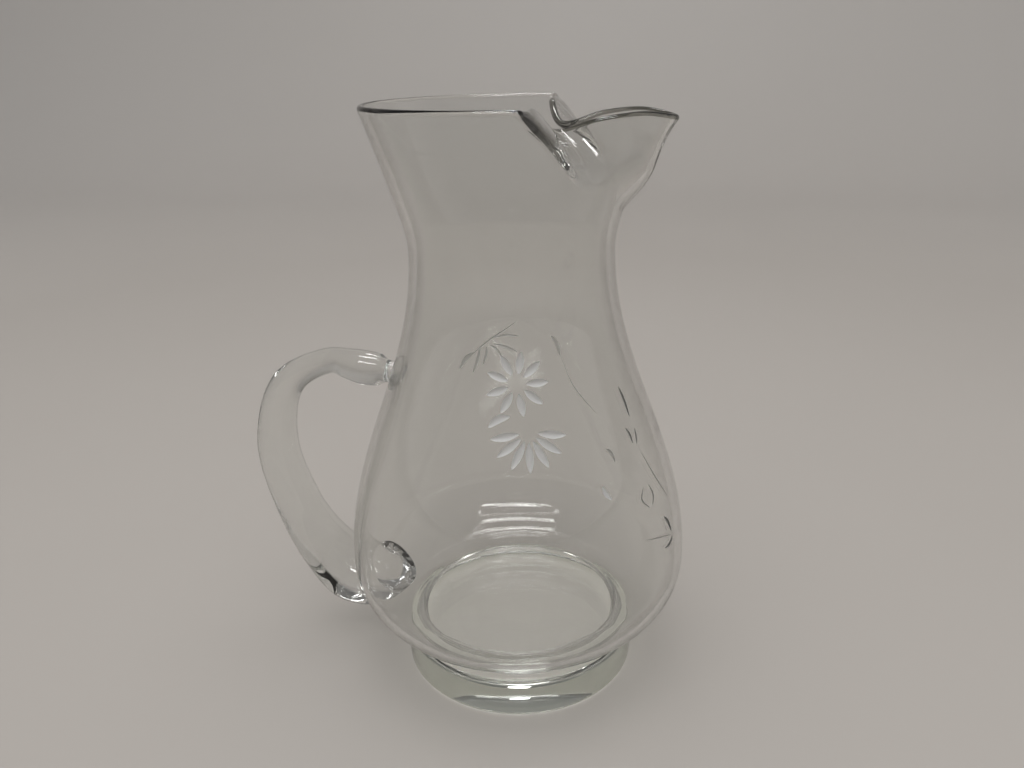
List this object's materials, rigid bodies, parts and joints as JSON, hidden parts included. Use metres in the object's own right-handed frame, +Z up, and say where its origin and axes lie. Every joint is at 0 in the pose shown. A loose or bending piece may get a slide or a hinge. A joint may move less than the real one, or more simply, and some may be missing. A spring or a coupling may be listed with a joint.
{
  "type": "glass pitcher",
  "caption": "Clear glass pitcher with a rounded belly, slim neck, pinched ice-guard lip, applied loop handle and thick disc foot, for holding and pouring chilled drinks.",
  "frame": {"origin": "centre of the foot's flat resting face", "axes": "+Z up the pitcher's axis, +X towards the pouring lip, -X towards the handle, +Y across"},
  "size_m": [0.1898, 0.145, 0.2404],
  "materials": {
    "body": "polished",
    "handle": "polished",
    "foot": "polished"
  },
  "bodies": {
    "root": {"body": "body", "handle": "handle", "foot": "foot"}
  },
  "joints": []
}
